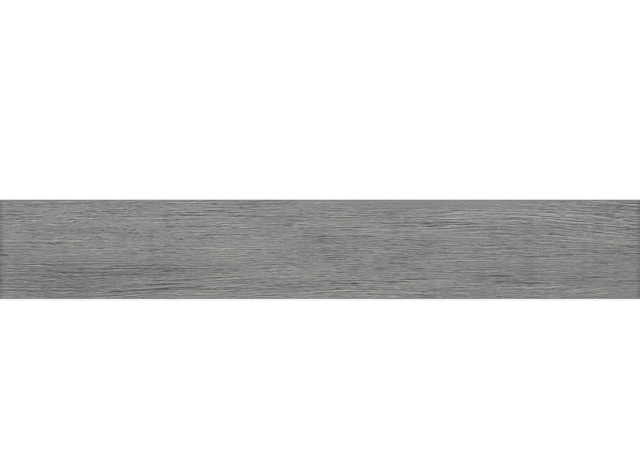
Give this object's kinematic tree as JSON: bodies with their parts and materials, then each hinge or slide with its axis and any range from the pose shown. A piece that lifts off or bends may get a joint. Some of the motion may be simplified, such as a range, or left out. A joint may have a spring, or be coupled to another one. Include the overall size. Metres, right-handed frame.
{
  "type": "ceramic skirting tile",
  "caption": "Long flat ceramic tile with a grey wood-grain glazed face, rounded upper edge and ribbed back, bonded along the foot of a wall as a skirting.",
  "frame": {"origin": "middle of the keyed back, which the tile lies on", "axes": "+X along the tile, +Y towards the edge that shows along the top of the skirting, +Z out of the printed face"},
  "size_m": [0.6, 0.093, 0.009],
  "materials": {
    "glazed_tile": "matte"
  },
  "bodies": {
    "root": {"skirting_tile": "glazed_tile"}
  },
  "joints": []
}
